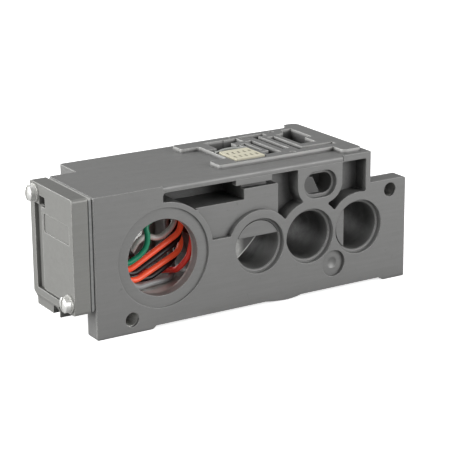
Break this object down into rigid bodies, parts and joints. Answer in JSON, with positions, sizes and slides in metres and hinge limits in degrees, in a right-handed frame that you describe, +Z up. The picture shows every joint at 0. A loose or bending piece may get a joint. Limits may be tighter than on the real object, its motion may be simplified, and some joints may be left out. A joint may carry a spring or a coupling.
{
  "type": "pneumatic valve island station",
  "caption": "Cast manifold block with machined valve pad, gallery bores, wireway with loom and a screwed end cover.",
  "frame": {"origin": "middle of the bounding box's base", "axes": "+X along the joint face towards the tab, away from the end cover; +Y from the joint face to the rear; +Z up from the feet to the valve pad"},
  "size_m": [0.1737, 0.0574, 0.0649],
  "materials": {
    "cast_block": "fine as-cast skin with machined faces at the joint and pad",
    "cast_cover": "fine as-cast skin, satin outer face",
    "gasket": "matte grey sheet",
    "plated_screw": "bright nickel plating",
    "plated_washer": "bright nickel plating",
    "cream_plastic": "cream nylon, semi-matte",
    "contact_metal": "tinned contact blades",
    "bracket_plastic": "light grey moulding",
    "plug_plastic": "off-white nylon",
    "wire_red": "orange-red insulation, slightly glossy",
    "wire_red_dark": "dark red insulation",
    "wire_black": "black insulation",
    "wire_grey": "grey insulation",
    "wire_white": "white insulation",
    "wire_green": "green insulation"
  },
  "bodies": {
    "root": {"manifold_block": "cast_block", "end_cover": "cast_cover", "cover_gasket": "gasket", "cover_screw_upper": "plated_screw", "cover_screw_lower": "plated_screw", "cover_washer_upper": "plated_washer", "cover_washer_lower": "plated_washer", "valve_connector": "cream_plastic", "connector_contacts": "contact_metal", "connector_bracket": "bracket_plastic", "harness_plug": "plug_plastic", "wire_red_1": "wire_red", "wire_red_2": "wire_red", "wire_red_3": "wire_red_dark", "wire_black_1": "wire_black", "wire_black_2": "wire_black", "wire_black_3": "wire_black", "wire_grey": "wire_grey", "wire_white": "wire_white", "wire_green": "wire_green"}
  },
  "joints": []
}
